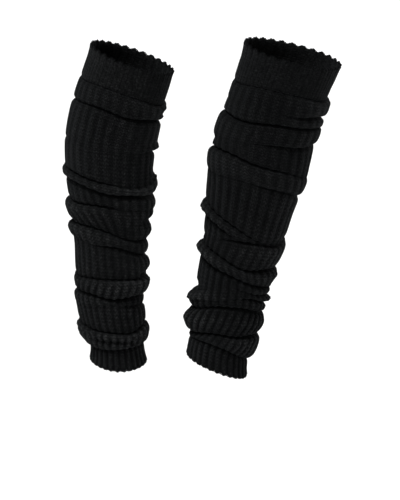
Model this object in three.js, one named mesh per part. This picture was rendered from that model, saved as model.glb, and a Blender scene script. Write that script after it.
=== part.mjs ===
// A pair of rib-knit leg warmers, worn and slouched into folds, with nothing inside them.
// Millimetres, +Z up, +X to the viewer's right, +Y away from the viewer.
// The origin lies midway between the centres of the two top openings, level with them.
// Each warmer is three knitted pieces: a top cuff, the slouched leg tube and an ankle cuff.

import * as THREE from 'three';

// A kind of ribbing: how many ribs go round, and the outer points across each rib, with their place
// from its middle as a share of its pitch and how far they rise or sink.
const wideRibs = {
  count: 28,
  across: [{ place: -0.22, rise: 0.8 }, { place: 0.22, rise: 0.8 }, { place: 0.5, rise: -0.8 }],
};
const fineRibs = {              // the elastic top cuff is knitted in finer ribs
  count: 63,
  across: [{ place: 0, rise: 0.4 }, { place: 0.5, rise: -0.4 }],
};
const insidePoints = 21;        // the plain inside needs few points round it
const scallopCount = 28;        // waves that the cast-off loops make in the top edge
const wallThickness = 2.2;      // mean outer surface to the plain inside
const longestMitre = 1.5;       // how many wall thicknesses an inside corner may stand off
const seamGap = 0.45;           // straight down between two knitted pieces; the slant leaves about 0.3
const topScallopRise = 1.1;
const ankleScallopRise = 0.7;
const castOffBead = 0.6;        // the cast-off edge stands proud of the cuff below it
const beadShare = 0.14;         // how far down the top cuff its bead reaches
const cuffSwell = { share: 0.6, standOff: 0.8 };    // the top cuff swells most well below its edge
const ankleHug = { share: 0.5, standOff: -0.4 };    // the ankle cuff hugs closest at mid height
const bandAbove = 0.6;          // where a three-band fold breaks above its crest, as a share of that side
const bandBelow = 0.45;         // and where it breaks below its crest
const creaseWander = { threes: 1.1, fives: 0.6 };   // how far a crease strays from its even course
const wanderTurn = 2.4;         // each crease strays at another place, turned by this many radians

const blackYarn = { color: 0x17181a, roughness: 0.95, metalness: 0 };

// Turns rows of bare numbers into objects with the column names.
function table(columns, rows) {
  return rows.map((row) => Object.fromEntries(columns.map((column, i) => [column, row[i]])));
}

// Level sections of the cloth where it lies closest to the leg, from the knee down to the ankle.
const sectionColumns = ['height', 'centreX', 'centreY', 'halfWidth', 'halfDepth'];

const leftSections = table(sectionColumns, [
  [20, -80.5, -1, 49.5, 49],
  [0, -86, 0, 49.8, 50],
  [-46, -101.5, 6, 50.5, 53],
  [-80, -109.5, 11, 50, 55],
  [-114, -113, 14, 48.4, 55],
  [-151, -113, 14, 44.8, 50],
  [-206, -112.8, 14, 39, 44],
  [-275, -114, 15, 35.6, 39],
  [-303, -111.4, 17, 33.6, 37],
  [-323, -107, 19, 30, 34],
  [-352, -104.8, 21, 32.3, 35],
]);

const rightSections = table(sectionColumns, [
  [20, 94, -1, 56.5, 52],
  [0, 89.6, 0, 56.5, 53],
  [-43, 74, 6, 54.3, 56],
  [-95, 58.8, 15, 56, 59],
  [-143, 50.4, 20, 53.2, 57],
  [-177, 42.6, 23, 46.5, 51],
  [-201, 37.5, 25, 43.7, 48],
  [-235, 29.3, 27, 40.7, 44],
  [-281, 20.5, 30, 38.9, 41],
  [-311, 15.9, 32, 37.3, 39],
  [-335, 9, 34, 35, 37],
  [-368, 7, 36, 34.5, 36],
]);

// One row for each fold, from its upper crease down to the crease of the row below.
// z: the crease's height at the right, front, left and back. off: how far the crease stands off there.
// out: how far the fold's crest stands out there. crest: how far down the fold its crest lies, 0 to 1.
// steps: how many bands of faces make the fold.
const foldColumns = [
  'zRight', 'zFront', 'zLeft', 'zBack',
  'offRight', 'offFront', 'offLeft', 'offBack',
  'outRight', 'outFront', 'outLeft', 'outBack',
  'crest', 'steps',
];

const leftFolds = table(foldColumns, [
  [-54, -33, -14, -26, 0.4, 0.7, 0.6, 0.6, 3.2, 2.4, 1.0, 2.4, 0.60, 2],
  [-71, -59, -45, -54, 0.0, 0.0, 0.2, 0.0, 3.8, 1.0, 0.5, 2.6, 0.60, 2],
  [-104, -96, -88, -98, 0.0, 0.9, 0.4, 0.6, 1.0, 1.2, 0.8, 1.5, 0.50, 2],
  [-124, -136, -118, -114, 0.0, 0.0, 0.0, 0.0, 8.2, 4.0, 4.6, 6.0, 0.45, 3],
  [-153, -148, -133, -134, 0.0, 0.4, 0.3, 0.0, 6.4, 1.8, 1.2, 4.5, 0.35, 3],
  [-176, -163, -156, -165, 0.0, 0.0, 0.0, 0.0, 6.6, 2.4, 6.0, 4.0, 0.28, 3],
  [-206, -193, -182, -190, 0.0, 0.0, 0.0, 0.0, 2.6, 3.2, 6.2, 4.5, 0.40, 2],
  [-220, -204, -200, -207, 0.0, 0.9, 1.4, 1.0, 5.4, 1.2, 0.6, 3.0, 0.45, 3],
  [-246, -245, -243, -238, 0.0, 0.0, 0.2, 0.0, 9.0, 4.6, 3.2, 5.5, 0.30, 3],
  [-274, -264, -260, -262, 0.0, 0.0, 0.2, 0.0, 1.6, 3.0, 3.0, 3.6, 0.50, 2],
  [-280, -275, -277, -276, 0.4, 1.0, 1.4, 0.8, 3.8, 1.8, 1.4, 2.8, 0.35, 3],
  [-304, -309, -299, -300, 0.0, 0.0, 0.0, 0.0, 8.2, 6.4, 8.2, 6.5, 0.35, 3],
]);

const rightFolds = table(foldColumns, [
  [-45, -30, -20, -28, 0.0, 0.8, 0.6, 0.4, 6.8, 1.6, 1.0, 3.2, 0.45, 2],
  [-67, -54, -43, -51, 0.0, 1.0, 0.9, 0.8, 4.8, 2.2, 1.0, 3.0, 0.65, 2],
  [-81, -69, -57, -64, 2.8, 0.0, 0.0, 0.0, 4.8, 1.8, 3.0, 3.2, 0.30, 3],
  [-99, -92, -84, -88, 0.0, 0.8, 0.2, 0.6, 1.8, 1.8, 0.2, 2.0, 0.65, 2],
  [-136, -114, -100, -118, 1.4, 0.0, 0.0, 0.0, 3.6, 3.6, 3.8, 4.5, 0.40, 3],
  [-156, -136, -124, -140, 0.0, 0.8, 1.6, 0.6, 4.0, 2.4, 1.2, 2.4, 0.75, 3],
  [-201, -195, -163, -172, 1.4, 0.4, 0.0, 0.0, 1.8, 2.2, 6.4, 4.5, 0.50, 2],
  [-212, -205, -177, -188, 0.0, 0.0, 0.2, 0.0, 8.2, 2.6, 1.2, 3.4, 0.30, 3],
  [-240, -232, -211, -222, 0.0, 0.0, 0.0, 0.0, 8.4, 3.8, 7.0, 5.5, 0.45, 3],
  [-263, -246, -224, -245, 0.0, 0.4, 0.0, 0.3, 5.4, 2.0, 0.6, 2.4, 0.50, 2],
  [-273, -257, -268, -263, 0.6, 1.2, 0.0, 0.8, 6.4, 2.2, 7.4, 4.4, 0.50, 2],
  [-281, -268, -276, -272, 1.0, 1.8, 7.4, 2.4, 5.4, 2.4, 7.2, 4.2, 0.30, 2],
  [-292, -279, -286, -286, 0.0, 0.0, 0.0, 0.0, 6.0, 2.8, 10.6, 4.4, 0.36, 3],
  [-320, -314, -315, -312, 0.0, 0.0, 0.0, 0.0, 9.6, 4.0, 1.6, 4.6, 0.42, 3],
]);

// The two cast-off edges and the seam at the ankle cuff: heights at the right, front, left and back.
const edgeColumns = ['zRight', 'zFront', 'zLeft', 'zBack'];
const leftEdges = table(edgeColumns, [
  [-15.5, -4, 16, 3],
  [-324, -328, -326, -322],
  [-347, -351, -346, -346],
]);
const rightEdges = table(edgeColumns, [
  [-8.5, -1, 18, 9],
  [-349, -328, -322, -330],
  [-368, -356, -339, -348],
]);

const [leftTopEdge, leftAnkleSeam, leftAnkleEdge] = leftEdges;
const [rightTopEdge, rightAnkleSeam, rightAnkleEdge] = rightEdges;

// Four values, at the right, front, left and back, carried smoothly round to any angle.
function aroundLeg(row, name, angle) {
  const right = row[`${name}Right`];
  const front = row[`${name}Front`];
  const left = row[`${name}Left`];
  const back = row[`${name}Back`];
  const mean = (right + front + left + back) / 4;
  const acrossX = (right - left) / 2;
  const acrossY = (back - front) / 2;
  const oval = (right + left - front - back) / 4;
  return mean + acrossX * Math.cos(angle) + acrossY * Math.sin(angle) + oval * Math.cos(2 * angle);
}

// A crease's height, which strays a little from its even course as real slouched cloth does.
function creaseHeight(row, index, angle) {
  const turn = wanderTurn * index;
  return aroundLeg(row, 'z', angle)
    + creaseWander.threes * Math.sin(3 * angle + turn)
    + creaseWander.fives * Math.sin(5 * angle + 2 * turn);
}

// A section column at any height, along a smooth curve through the rows.
function sectionValue(sections, column, height) {
  let i = 0;
  while (i < sections.length - 2 && sections[i + 1].height > height) i += 1;
  const from = sections[i];
  const to = sections[i + 1];
  const span = to.height - from.height;
  const slopeAt = (k) => {
    const before = sections[Math.max(k - 1, 0)];
    const after = sections[Math.min(k + 1, sections.length - 1)];
    return (after[column] - before[column]) / (after.height - before.height);
  };
  const t = (height - from.height) / span;
  const t2 = t * t;
  const t3 = t2 * t;
  return from[column] * (2 * t3 - 3 * t2 + 1) + slopeAt(i) * span * (t3 - 2 * t2 + t)
    + to[column] * (3 * t2 - 2 * t3) + slopeAt(i + 1) * span * (t3 - t2);
}

// The point of the cloth at an angle and a height, standing off the closest-lying section.
function clothPoint(sections, angle, height, standOff) {
  const halfWidth = sectionValue(sections, 'halfWidth', height) + standOff;
  const halfDepth = sectionValue(sections, 'halfDepth', height) + standOff;
  return new THREE.Vector3(
    sectionValue(sections, 'centreX', height) + halfWidth * Math.cos(angle),
    sectionValue(sections, 'centreY', height) + halfDepth * Math.sin(angle),
    height,
  );
}

// How much of its full bulge a fold has at a share of the way down, rounded from crease to crest.
function roundedRise(share, crest) {
  const reach = share <= crest ? share / crest : (1 - share) / (1 - crest);
  return Math.sqrt(Math.max(0, 1 - (1 - reach) ** 2));
}

// Where the bands of a fold begin, as shares of the way down it.
function bandShares(fold) {
  if (fold.steps === 2) return [0, fold.crest];
  return [0, fold.crest * bandAbove, fold.crest + (1 - fold.crest) * bandBelow];
}

// The leg tube's profile at an angle: a list of heights and stand-offs, from the top seam down.
function tubeProfile(folds, ankleSeam, angle) {
  const points = [];
  folds.forEach((fold, index) => {
    const below = folds[index + 1];
    const upper = creaseHeight(fold, index, angle) - (index === 0 ? seamGap : 0);
    const lower = below ? creaseHeight(below, index + 1, angle) : aroundLeg(ankleSeam, 'z', angle);
    const upperOff = aroundLeg(fold, 'off', angle);
    const lowerOff = below ? aroundLeg(below, 'off', angle) : 0;
    const out = aroundLeg(fold, 'out', angle);
    for (const share of bandShares(fold)) {
      const crease = share <= fold.crest ? upperOff : lowerOff;
      const rise = roundedRise(share, fold.crest);
      points.push({
        height: upper + (lower - upper) * share,
        standOff: crease + (out - crease) * rise,
      });
    }
  });
  points.push({ height: aroundLeg(ankleSeam, 'z', angle), standOff: 0 });
  return points;
}

// The top cuff's profile at an angle: the cast-off edge, its bead, then down to the first crease.
function topCuffProfile(folds, edge, angle) {
  const top = aroundLeg(edge, 'z', angle) + topScallopRise * Math.cos(scallopCount * angle);
  const seam = creaseHeight(folds[0], 0, angle);
  const seamOff = aroundLeg(folds[0], 'off', angle);
  const stages = [
    { share: 0, standOff: castOffBead },
    { share: beadShare, standOff: 0 },
    cuffSwell,
    { share: 1, standOff: seamOff },
  ];
  return stages.map(({ share, standOff }) => ({ height: top + (seam - top) * share, standOff }));
}

// The ankle cuff's profile at an angle: from the seam under the last fold down to the cast-off edge.
function ankleCuffProfile(seamRow, edge, angle) {
  const seam = aroundLeg(seamRow, 'z', angle) - seamGap;
  const bottom = aroundLeg(edge, 'z', angle) - ankleScallopRise * Math.cos(wideRibs.count * angle);
  const stages = [
    { share: 0, standOff: 0 },
    ankleHug,
    { share: 1, standOff: castOffBead },
  ];
  return stages.map(({ share, standOff }) => ({ height: seam + (bottom - seam) * share, standOff }));
}

// The same profile moved in by the wall's thickness, square to it, and level at its two ends.
function insideProfile(profile) {
  return profile.map((point, i) => {
    const above = profile[i - 1];
    const below = profile[i + 1];
    if (!above || !below) return { height: point.height, standOff: point.standOff - wallThickness };
    const upper = new THREE.Vector2(point.standOff - above.standOff, point.height - above.height);
    const lower = new THREE.Vector2(below.standOff - point.standOff, below.height - point.height);
    upper.normalize();
    lower.normalize();
    const outward = new THREE.Vector2(-upper.y - lower.y, upper.x + lower.x).normalize();
    const upperOutward = new THREE.Vector2(-upper.y, upper.x);
    const mitre = Math.min(1 / outward.dot(upperOutward), longestMitre);
    return {
      height: point.height - outward.y * mitre * wallThickness,
      standOff: point.standOff - outward.x * mitre * wallThickness,
    };
  });
}

// A closed knitted wall: ribs raised in its outer points, over a plain inside.
function knittedWall(name, sections, ribs, profileAt) {
  const outsidePoints = ribs.count * ribs.across.length;
  const perInside = outsidePoints / insidePoints;
  const positions = [];
  const faces = [];
  const addRing = (count, pointAt) => {
    const first = positions.length / 3;
    for (let k = 0; k < count; k += 1) positions.push(...pointAt(k).toArray());
    return first;
  };

  const rows = profileAt(0).length;
  const outside = [];
  const inside = [];
  for (let row = 0; row < rows; row += 1) {
    outside.push(addRing(outsidePoints, (k) => {
      const { place, rise } = ribs.across[k % ribs.across.length];
      const rib = Math.floor(k / ribs.across.length);
      const angle = (2 * Math.PI * (rib + place)) / ribs.count;
      const { height, standOff } = profileAt(angle)[row];
      return clothPoint(sections, angle, height, standOff + rise);
    }));
    inside.push(addRing(insidePoints, (k) => {
      const angle = (2 * Math.PI * k) / insidePoints;
      const { height, standOff } = insideProfile(profileAt(angle))[row];
      return clothPoint(sections, angle, height, standOff);
    }));
  }

  const joinRings = (upper, lower, count, facesOut) => {
    for (let k = 0; k < count; k += 1) {
      const next = (k + 1) % count;
      const corners = [upper + k, lower + k, lower + next, upper + next];
      if (!facesOut) corners.reverse();
      const [a, b, c, d] = corners;
      faces.push(a, b, c, a, c, d);
    }
  };
  for (let row = 0; row < rows - 1; row += 1) {
    joinRings(outside[row], outside[row + 1], outsidePoints, true);
    joinRings(inside[row], inside[row + 1], insidePoints, false);
  }

  // The rim between the outer ring and the inner ring, where one inner point meets several outer ones.
  const closeRim = (outer, inner, facesUp) => {
    const add = (a, b, c) => faces.push(...(facesUp ? [a, b, c] : [c, b, a]));
    for (let k = 0; k < insidePoints; k += 1) {
      const nextInner = inner + ((k + 1) % insidePoints);
      for (let j = 0; j < perInside; j += 1) {
        const from = outer + k * perInside + j;
        const to = outer + ((k * perInside + j + 1) % outsidePoints);
        add(from, to, j < perInside / 2 ? inner + k : nextInner);
      }
      const middle = outer + k * perInside + Math.ceil(perInside / 2);
      add(middle, nextInner, inner + k);
    }
  };
  closeRim(outside[0], inside[0], true);
  closeRim(outside[rows - 1], inside[rows - 1], false);

  const geometry = new THREE.BufferGeometry();
  geometry.setAttribute('position', new THREE.Float32BufferAttribute(positions, 3));
  geometry.setIndex(faces);
  geometry.computeVertexNormals();
  const mesh = new THREE.Mesh(geometry, new THREE.MeshStandardMaterial(blackYarn));
  mesh.name = name;
  return mesh;
}

// One whole warmer: its top cuff, leg tube and ankle cuff.
function legWarmer(side, sections, folds, topEdge, ankleSeam, ankleEdge) {
  const warmer = new THREE.Group();
  warmer.add(
    knittedWall(`${side}_top_cuff`, sections, fineRibs,
      (angle) => topCuffProfile(folds, topEdge, angle)),
    knittedWall(`${side}_leg_tube`, sections, wideRibs,
      (angle) => tubeProfile(folds, ankleSeam, angle)),
    knittedWall(`${side}_ankle_cuff`, sections, wideRibs,
      (angle) => ankleCuffProfile(ankleSeam, ankleEdge, angle)),
  );
  return warmer;
}

const pair = new THREE.Group();
pair.add(
  legWarmer('left', leftSections, leftFolds, leftTopEdge, leftAnkleSeam, leftAnkleEdge),
  legWarmer('right', rightSections, rightFolds, rightTopEdge, rightAnkleSeam, rightAnkleEdge),
);

export default pair;
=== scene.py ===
# Looks of a pair of worn, slouched rib-knit leg warmers with nothing inside them. The tables below are in
# millimetres and degrees, in the frame of the solids: +Z up, +Y away from the viewer.
import math
import bpy
import numpy as np
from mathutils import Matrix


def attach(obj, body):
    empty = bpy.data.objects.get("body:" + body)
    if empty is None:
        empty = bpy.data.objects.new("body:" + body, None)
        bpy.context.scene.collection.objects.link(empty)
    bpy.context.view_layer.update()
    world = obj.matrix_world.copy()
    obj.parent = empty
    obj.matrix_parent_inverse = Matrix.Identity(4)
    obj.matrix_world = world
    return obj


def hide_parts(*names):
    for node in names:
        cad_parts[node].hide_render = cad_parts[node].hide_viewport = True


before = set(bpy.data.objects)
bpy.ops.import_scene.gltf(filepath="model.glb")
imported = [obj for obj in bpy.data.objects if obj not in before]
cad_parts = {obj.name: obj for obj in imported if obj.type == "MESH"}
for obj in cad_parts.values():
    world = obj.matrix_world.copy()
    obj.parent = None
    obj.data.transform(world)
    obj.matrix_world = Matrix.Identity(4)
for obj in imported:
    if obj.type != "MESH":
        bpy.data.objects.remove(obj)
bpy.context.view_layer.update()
print("frame loaded with", len(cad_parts), "solids")

mm = 0.001
fullTurn = 2 * math.pi
stationNames = ("Right", "Front", "Left", "Back")


# Rows of a table, with a name for each column.
def table(columns, rows):
    return [dict(zip(columns.split(), row)) for row in rows]


sectionColumns = "height centreX centreY halfWidth halfDepth"

# z is the height of a fold's upper crease and off how far it stands off the sections, at the four stations.
# out is how far the fold's crest stands off, crest how far down the fold it lies, as a share, and full how
# boxy the fold is. lip is how far its shelf rises for each millimetre of out, and lean how many degrees the
# knit turns by towards its creases.
foldColumns = ("zRight zFront zLeft zBack offRight offFront offLeft offBack "
               "outRight outFront outLeft outBack crest full lip lean")

# The height of an edge or a seam at the four stations.
edgeColumns = "zRight zFront zLeft zBack"

# A wrinkle runs from one angle and height to another; width is its half width, rise is negative for a trough.
wrinkleColumns = "angle height toAngle toHeight width rise"

leftWarmer = {
    "name": "left",
    "seed": 11,
    "paintedLightLevel": 1.0,               # how much painted light it gets; a lower level paints the whole warmer darker, as painted shade
    "sections": table(sectionColumns, [
        (20, -80.5, -1, 49.5, 49),
        (0, -86, 0, 49.8, 50),
        (-46, -101.5, 6, 50.5, 53),
        (-80, -109.5, 11, 50, 55),
        (-114, -113, 14, 48.4, 55),
        (-151, -113, 14, 44.8, 50),
        (-206, -112.8, 14, 39, 44),
        (-275, -114, 15, 35.6, 39),
        (-303, -111.4, 17, 33.6, 37),
        (-323, -107, 19, 30, 34),
        (-352, -104.8, 21, 32.3, 35),
    ]),
    "folds": table(foldColumns, [
        (-50, -34, -18, -27, 0.4, 0.7, 0.6, 0.6, 4.6, 2.3, 1.0, 2.4, 0.30, 2.0, 0.0, 2),
        (-71, -56, -44, -54, 0.0, 0.0, 0.3, 0.0, 3.0, 1.4, 0.6, 2.6, 0.35, 3.0, 0.1, -3),
        (-104, -96, -88, -98, 0.0, 2.0, 0.6, 0.6, 1.0, 1.6, 0.8, 1.5, 0.60, 2.8, 0.0, 2),
        (-138, -136, -119, -120, 5.0, 0.0, 0.0, 0.4, 8.2, 4.2, 4.8, 6.0, 0.40, 1.4, 0.3, 3),
        (-154, -145, -132, -136, 0.0, 0.3, 0.2, 0.0, 6.8, 1.6, 1.2, 4.5, 0.55, 2.3, 0.1, 3),
        (-168, -162, -158, -164, 4.6, 0.0, 0.0, 0.0, 5.6, 3.2, 6.4, 4.0, 0.24, 1.15, 0.3, 9),
        (-207, -191, -183, -190, 0.6, 0.0, 0.0, 0.0, 3.4, 3.6, 6.6, 4.5, 0.34, 1.5, 0.3, 5),
        (-223, -206, -200, -208, 0.0, 0.5, 1.6, 1.0, 6.4, 1.2, 0.8, 3.0, 0.45, 1.7, 0.1, 4),
        (-246, -246, -243, -238, 0.0, 0.0, 0.2, 0.0, 9.4, 4.8, 3.4, 5.5, 0.26, 1.6, 0.3, -4),
        (-267, -266, -261, -262, 0.8, 0.0, 0.0, 0.0, 1.6, 3.2, 3.4, 3.6, 0.40, 1.6, 0.2, 4),
        (-280, -275, -277, -276, 0.4, 1.1, 1.4, 0.8, 3.8, 2.0, 1.4, 2.8, 0.35, 2.6, 0.1, 3),
        (-305, -309, -300, -300, 0.0, 0.0, 0.0, 0.0, 8.2, 6.6, 8.4, 6.5, 0.32, 1.7, 0.3, -4),
    ]),
    "topEdge": table(edgeColumns, [(-15.5, -4, 16, 3)])[0],
    "ankleSeam": table(edgeColumns, [(-324, -328, -326, -322)])[0],
    "ankleEdge": table(edgeColumns, [(-347, -351, -343.5, -346)])[0],
    "wrinkles": table(wrinkleColumns, [
        (-150, -60, -95, -76, 3.2, -0.7),
        (-70, -74, -20, -88, 3.0, 0.9),
        (-40, -92, -5, -99, 2.4, -1.0),
        (-120, -104, -70, -112, 4.0, -0.5),
        (-165, -128, -120, -143, 2.2, -0.8),
        (-60, -158, -15, -163, 2.0, -1.0),
        (-130, -172, -88, -180, 2.6, 0.9),
        (-175, -206, -130, -214, 2.4, -0.8),
        (-75, -222, -25, -226, 2.4, -1.0),
        (-45, -236, -8, -231, 2.0, 0.9),
        (-150, -230, -105, -237, 3.0, 0.7),
        (-100, -252, -55, -256, 1.8, 0.8),
        (-170, -286, -125, -291, 2.6, -0.7),
        (-85, -290, -30, -285, 2.4, -1.0),
        (-140, -314, -95, -319, 1.8, -0.9),
        (-60, -317, -20, -311, 1.8, -0.8),
        (-148, -314, -28, -320, 1.8, -4.4),
        (-190, -306, -112, -312, 2.2, -3.6),
        (-70, -146, -15, -149, 1.6, -1.6),
        (-42, -180, 35, -184, 3.6, -5.2),
        (-50, -192, 30, -197, 4.6, 3.0),
        (-34, -99, 30, -100, 3.2, 3.2),
        (-30, -61, 30, -62, 2.6, -3.2),
        (-32, -131, 28, -133, 2.8, 2.6),
        (-30, -242, 30, -247, 3.6, -9.0),
        (-206, -179, -150, -181, 3.2, -3.2),
        (-30, -154, 24, -157, 2.6, -2.4),
        (25, -66, 80, -74, 3.0, -0.9),
        (60, -110, 120, -118, 3.6, 0.8),
        (100, -150, 150, -160, 2.6, -1.0),
        (30, -182, 85, -186, 2.4, -0.9),
        (120, -222, 165, -230, 2.6, 0.9),
        (40, -252, 95, -250, 2.0, -0.8),
        (75, -292, 130, -288, 2.4, -0.9),
    ]),
}

rightWarmer = {
    "name": "right",
    "seed": 23,
    # painted shade: this warmer gets less painted light, so it is painted darker all over
    "paintedLightLevel": 0.70,
    "sections": table(sectionColumns, [
        (20, 94, -1, 56.5, 52),
        (0, 89.6, 0, 56.5, 53),
        (-43, 74, 6, 54.3, 56),
        (-95, 58.8, 15, 56, 59),
        (-143, 50.4, 20, 53.2, 57),
        (-177, 42.6, 23, 46.5, 51),
        (-201, 37.5, 25, 43.7, 48),
        (-235, 29.3, 27, 40.7, 44),
        (-281, 20.5, 30, 38.9, 41),
        (-311, 15.9, 32, 37.3, 39),
        (-335, 9, 34, 35, 37),
        (-368, 7, 36, 34.5, 36),
    ]),
    "folds": table(foldColumns, [
        (-46, -33, -23, -29, 0.0, 0.8, 0.6, 0.4, 6.8, 1.6, 1.0, 3.2, 0.36, 2.0, 0.1, 2),
        (-67, -54, -43, -51, 0.0, 1.0, 0.9, 0.8, 4.8, 2.2, 1.0, 3.0, 0.60, 2.2, 0.1, 2),
        (-77, -69, -60, -64, 0.6, 0.0, 0.0, 0.0, 4.8, 2.2, 3.0, 3.2, 0.30, 2.1, 0.2, -3),
        (-97, -91, -84, -88, 0.0, 0.7, 1.8, 0.6, 1.8, 1.8, 1.6, 2.0, 0.65, 2.6, 0.0, 2),
        (-136, -114, -100, -118, 1.2, 0.0, 0.0, 0.0, 3.6, 3.6, 3.8, 4.5, 0.30, 2.0, 0.2, 4),
        (-156, -136, -124, -140, 0.0, 0.9, 1.6, 0.6, 3.8, 2.4, 1.2, 2.4, 0.75, 2.8, 0.0, 3),
        (-203, -194, -162, -172, 1.4, 0.5, 0.0, 0.0, 1.8, 2.4, 7.4, 4.5, 0.50, 1.2, 0.3, 4),
        (-207, -200, -175, -184, 1.6, 1.2, 0.0, 0.4, 1.8, 1.4, 1.2, 1.6, 0.50, 2.2, 0.0, 2),
        (-211, -204, -198, -192, 0.0, 0.0, 1.8, 0.6, 8.2, 3.0, 1.6, 3.4, 0.24, 1.8, 0.3, -4),
        (-240, -232, -211, -222, 0.0, 0.0, 0.0, 0.0, 8.6, 4.0, 8.2, 5.5, 0.36, 1.2, 0.3, 6),
        (-263, -246, -224, -245, 0.0, 0.4, 0.0, 0.3, 5.4, 2.0, 0.6, 2.4, 0.50, 2.4, 0.1, 3),
        (-273, -257, -267, -263, 0.4, 1.2, 0.6, 0.8, 6.6, 2.2, 8.2, 4.4, 0.78, 1.3, 0.1, 4),
        (-281, -268, -276, -272, 0.6, 1.8, 8.4, 2.4, 5.6, 2.4, 5.6, 4.2, 0.20, 1.4, 0.0, 2),
        (-292, -281, -286, -286, 0.0, 0.0, 0.6, 0.0, 6.4, 3.0, 10.6, 4.4, 0.46, 1.3, 0.2, -8),
        (-320, -314, -315, -312, 0.0, 0.0, 0.2, 0.0, 9.6, 4.0, 1.6, 4.6, 0.42, 1.7, 0.2, -5),
    ]),
    "topEdge": table(edgeColumns, [(-8.5, -1, 18, 9)])[0],
    "ankleSeam": table(edgeColumns, [(-349, -328, -322, -330)])[0],
    "ankleEdge": table(edgeColumns, [(-368, -356, -341.5, -348)])[0],
    "wrinkles": table(wrinkleColumns, [
        (-140, -40, -100, -46, 3.0, -0.7),
        (-80, -62, -35, -70, 2.6, 0.8),
        (-70, -100, -20, -106, 3.0, -0.9),
        (-150, -92, -105, -102, 3.6, -0.5),
        (-100, -128, -55, -142, 2.4, 0.9),
        (-60, -158, -20, -170, 3.4, -0.6),
        (-120, -152, -80, -166, 4.0, -0.5),
        (-165, -188, -130, -196, 2.2, -0.8),
        (-110, -216, -70, -221, 2.0, 0.8),
        (-60, -222, -18, -230, 2.2, -1.0),
        (-150, -238, -110, -252, 3.0, -0.6),
        (-75, -258, -25, -264, 1.8, 0.9),
        (-125, -272, -85, -270, 1.8, -0.9),
        (-160, -298, -120, -306, 2.4, -0.8),
        (-90, -292, -45, -302, 2.4, 0.9),
        (-50, -322, -15, -333, 2.0, -0.9),
        (-206, -88, -154, -94, 6.0, -2.6),
        (-206, -198, -154, -203, 4.5, -1.8),
        (-206, -260, -150, -264, 4.8, -4.4),
        (-208, -291, -150, -288, 3.6, -5.0),
        (-30, -276, 30, -277, 2.4, 2.0),
        (-30, -262, 30, -263, 3.0, 3.0),
        (-30, -282, 30, -283, 2.4, -4.0),
        (20, -58, 75, -62, 3.0, -0.9),
        (70, -98, 130, -104, 3.4, 0.8),
        (35, -148, 90, -152, 3.6, -0.8),
        (100, -198, 150, -200, 2.6, -0.9),
        (45, -232, 100, -234, 2.4, 0.9),
        (110, -262, 160, -258, 2.2, -0.8),
        (50, -300, 110, -296, 2.4, -0.9),
    ]),
}

knit = {
    "ribs": 28,                 # wide ribs round the leg tube and the ankle cuff
    "columnsPerRib": 12,        # mesh columns across a wide rib
    "topCuffRibs": 63,          # finer ribs round the top cuff
    "columnsPerFineRib": 6,
    "rowStep": 2.4,             # cloth between two mesh rows
    "wall": 2.2,
    "seamGap": 0.3,
    "tuckDepth": 5.6,           # how deep the cloth is tucked in at a sharp crease
    "tuckWidth": 1.6,           # how soon the tuck closes, up and down the cloth
    "tuckTaper": 1.3,           # and how roundly, from 1 for a sharp bottom up
    "tuckSlant": 0.4,           # a tuck runs upwards as it goes in, so the fold above overhangs it
    "seamTuck": 2.2,            # how deep the seams with the cuffs are drawn in
    "creaseFade": 1.0,          # a crease that stands off this far has faded away
    "wanderThrees": 1.1,        # a crease strays from its even course in threes and fives, as the solids' do
    "wanderFives": 0.6,
    "wanderTurn": 2.4,
    "swell": 0.6,               # slow unevenness of the leg tube's surface
    "ripple": 0.25,             # finer unevenness
    "cuffSwell": 0.35,          # slow unevenness of the cuffs
    "seamCalm": 25,             # next to a seam the unevenness fades out, over one part in this many
    "drift": 3.0,               # how many degrees the knit wanders sideways on its way down
    "wobble": 0.8,              # how many degrees it wavers by from row to row
    "wrinkleEnds": 0.7,         # below 1 a wrinkle keeps its height nearly to its ends
    "fewestRows": 6,            # mesh rows above or below the crest of the flattest fold
    "insideBand": 3.5,          # how near to a crease the inside has its next row
    "insideFineness": 3,        # each outside row is split into this many to measure the inside from
    "insideRelief": -0.35,      # the ribs show from inside, the other way round and softer
    "rimRelief": 0.25,          # and weakly on the ends of the wall
    # an even level of painted light inside the wall
    "insidePaintedLight": 0.4,
}

# Each kind of unevenness: its cells round the cloth and down it, and what it adds to the warmer's seed.
unevenKinds = {
    "drift": (4, 5, 0),
    "swell": (9, 14, 1),
    "ripple": (31, 46, 2),
    "wobble": (17, 40, 3),
    "ribPatches": (7, 16, 4),
    "cuffSwell": (11, 3, 5),
}


# A value given at the four stations, carried smoothly round the tube.
def ringValue(row, name, angle):
    right, front, left, back = (row[name + station] for station in stationNames)
    mean = (right + front + left + back) / 4
    return (mean + (right - left) / 2 * np.cos(angle) + (back - front) / 2 * np.sin(angle)
            + (right + left - front - back) / 4 * np.cos(2 * angle))


# The height of a fold's upper crease, straying a little from its even course.
def creaseHeight(folds, index, angle):
    turn = knit["wanderTurn"] * index
    return (ringValue(folds[index], "z", angle) + knit["wanderThrees"] * np.sin(3 * angle + turn)
            + knit["wanderFives"] * np.sin(5 * angle + 2 * turn))


# How sharp a crease is round the tube: 1 where it is tucked in, down to 0 where it has faded away.
def creaseSharpness(folds, index, angle):
    if index == len(folds):
        return np.ones_like(angle)
    return np.clip(1 - ringValue(folds[index], "off", angle) / knit["creaseFade"], 0, 1)


# How deep the cloth is tucked in at the crease above a fold, or at the seam with a cuff.
def tuckDepth(folds, index, angle):
    if index in (0, len(folds)):
        return knit["seamTuck"]
    return knit["tuckDepth"] * creaseSharpness(folds, index, angle)


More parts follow.
